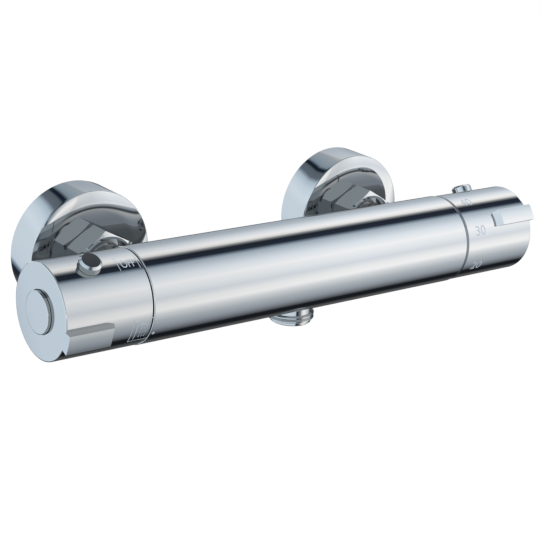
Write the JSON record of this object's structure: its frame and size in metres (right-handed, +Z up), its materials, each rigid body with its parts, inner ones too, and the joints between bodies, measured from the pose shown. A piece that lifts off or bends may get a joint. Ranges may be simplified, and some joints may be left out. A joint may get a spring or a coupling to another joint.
{
  "type": "thermostatic shower valve",
  "caption": "Wall-mounted thermostatic bar shower valve with a flow handle, a temperature handle, press buttons, two escutcheons and a threaded hose outlet below.",
  "frame": {"origin": "in the plane of the finished wall, midway between the axes of the two wall threads", "axes": "+X along the bar to the right as seen from the room, +Y into the wall, +Z up"},
  "size_m": [0.2622, 0.1067, 0.06],
  "materials": {
    "chrome": "polished chrome plate",
    "brass": "machined brass",
    "copper": "drawn copper capsule",
    "steel": "stainless steel",
    "seal_rubber": "matt",
    "ceramic": "lapped",
    "white_plastic": "moulded",
    "grey_plastic": "moulded"
  },
  "bodies": {
    "valve": {"valve_body": "chrome", "outlet_nipple": "chrome", "flow_cartridge_housing": "brass", "flow_seal": "seal_rubber", "flow_fixed_disc": "ceramic", "flow_retaining_nut": "brass", "flow_stop_ring": "white_plastic", "thermo_cartridge_housing": "brass", "thermo_orings": "seal_rubber", "thermo_return_spring": "steel", "thermo_retaining_nut": "brass", "temp_stop_ring": "white_plastic", "hot_escutcheon": "chrome", "hot_grip_ring": "seal_rubber", "hot_union": "brass", "hot_union_nut": "chrome", "hot_filter_washer": "seal_rubber", "hot_tail": "chrome", "hot_snap_ring": "steel", "hot_check_cage": "white_plastic", "hot_check_spring": "steel", "cold_escutcheon": "chrome", "cold_grip_ring": "seal_rubber", "cold_union": "brass", "cold_union_nut": "chrome", "cold_filter_washer": "seal_rubber", "cold_tail": "chrome", "cold_snap_ring": "steel", "cold_check_cage": "white_plastic", "cold_check_spring": "steel"},
    "flow_knob": {"flow_moving_disc": "ceramic", "flow_spindle": "brass", "flow_spindle_orings": "seal_rubber", "flow_handle": "chrome", "flow_handle_screw": "steel", "flow_end_cap": "chrome", "flow_button_spring": "steel"},
    "flow_press_button": {"flow_button": "chrome"},
    "temp_knob": {"thermo_spindle": "brass", "thermo_spindle_orings": "seal_rubber", "temp_handle": "chrome", "temp_handle_screw": "steel", "temp_end_cap": "chrome", "temp_button_spring": "steel"},
    "temp_press_button": {"temp_button": "chrome"},
    "regulator": {"thermo_shuttle": "steel", "wax_element": "copper", "thermo_plunger": "brass"},
    "hot_check": {"hot_check_poppet": "grey_plastic"},
    "cold_check": {"cold_check_poppet": "grey_plastic"}
  },
  "joints": [
    {"name": "flow_turn", "type": "hinge", "parent": "valve", "child": "flow_knob", "pos_m": [-0.0875, -0.0673, 0.006], "axis": [1, 0, 0], "range_deg": [0, 90]},
    {"name": "flow_button_press", "type": "slide", "parent": "flow_knob", "child": "flow_press_button", "axis": [0, 0.3907, -0.9205], "range_m": [0, 0.002], "stiffness_N_per_m": 1500, "springref_m": -0.001, "deforming": ["flow_button_spring"]},
    {"name": "temp_turn", "type": "hinge", "parent": "valve", "child": "temp_knob", "pos_m": [0.0875, -0.0673, 0.006], "axis": [1, 0, 0], "range_deg": [0, 143]},
    {"name": "temp_button_press", "type": "slide", "parent": "temp_knob", "child": "temp_press_button", "axis": [0, -0.5878, -0.809], "range_m": [0, 0.002], "stiffness_N_per_m": 1500, "springref_m": -0.001, "deforming": ["temp_button_spring"]},
    {"name": "regulator_slide", "type": "slide", "parent": "valve", "child": "regulator", "axis": [1, 0, 0], "range_m": [0, 0.002], "deforming": ["thermo_return_spring"]},
    {"name": "hot_check_slide", "type": "slide", "parent": "valve", "child": "hot_check", "axis": [0, -1, 0], "range_m": [0, 0.002], "stiffness_N_per_m": 60, "springref_m": -0.001, "deforming": ["hot_check_spring"]},
    {"name": "cold_check_slide", "type": "slide", "parent": "valve", "child": "cold_check", "axis": [0, -1, 0], "range_m": [0, 0.002], "stiffness_N_per_m": 60, "springref_m": -0.001, "deforming": ["cold_check_spring"]}
  ],
  "couplings": [
    {"joint": "regulator_slide", "follows": "temp_turn", "m_per_rad": 0.00080126}
  ]
}
